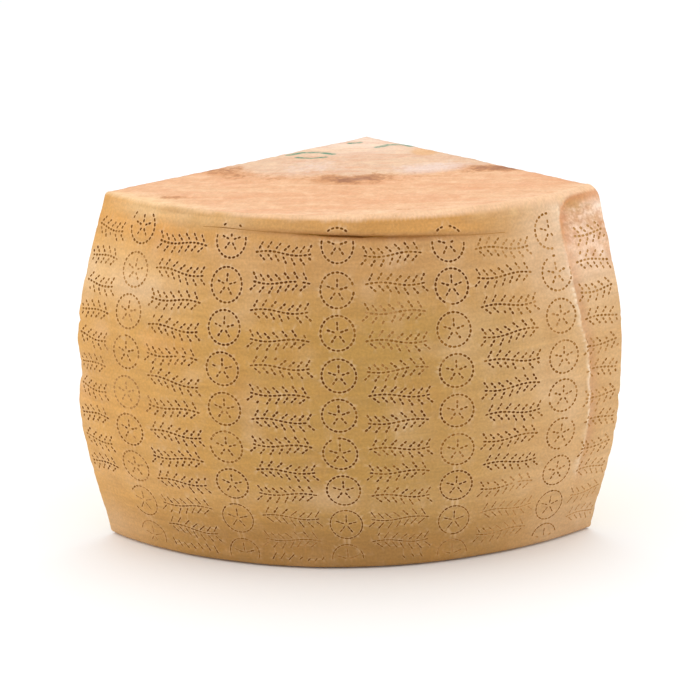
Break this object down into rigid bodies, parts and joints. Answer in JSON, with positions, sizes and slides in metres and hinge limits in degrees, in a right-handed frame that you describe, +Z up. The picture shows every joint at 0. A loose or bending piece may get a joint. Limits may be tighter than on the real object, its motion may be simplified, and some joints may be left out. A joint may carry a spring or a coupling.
{
  "type": "quarter wheel of hard cheese",
  "caption": "Quarter of a barrel-shaped wheel of hard aged cheese with a pressed golden rind, a lip under the rim and two upright cut faces, standing flat.",
  "frame": {"origin": "under the middle of the part's box, on the plane it stands on", "axes": "+Z up; -Y out of the middle of the rind; +Y towards the upright edge where the two cuts meet; +X to the right seen from the rind side"},
  "size_m": [0.3186, 0.2184, 0.2113],
  "materials": {
    "rind": "dry satin rind, golden tan"
  },
  "bodies": {
    "root": {"cheese_quarter": "rind"}
  },
  "joints": []
}
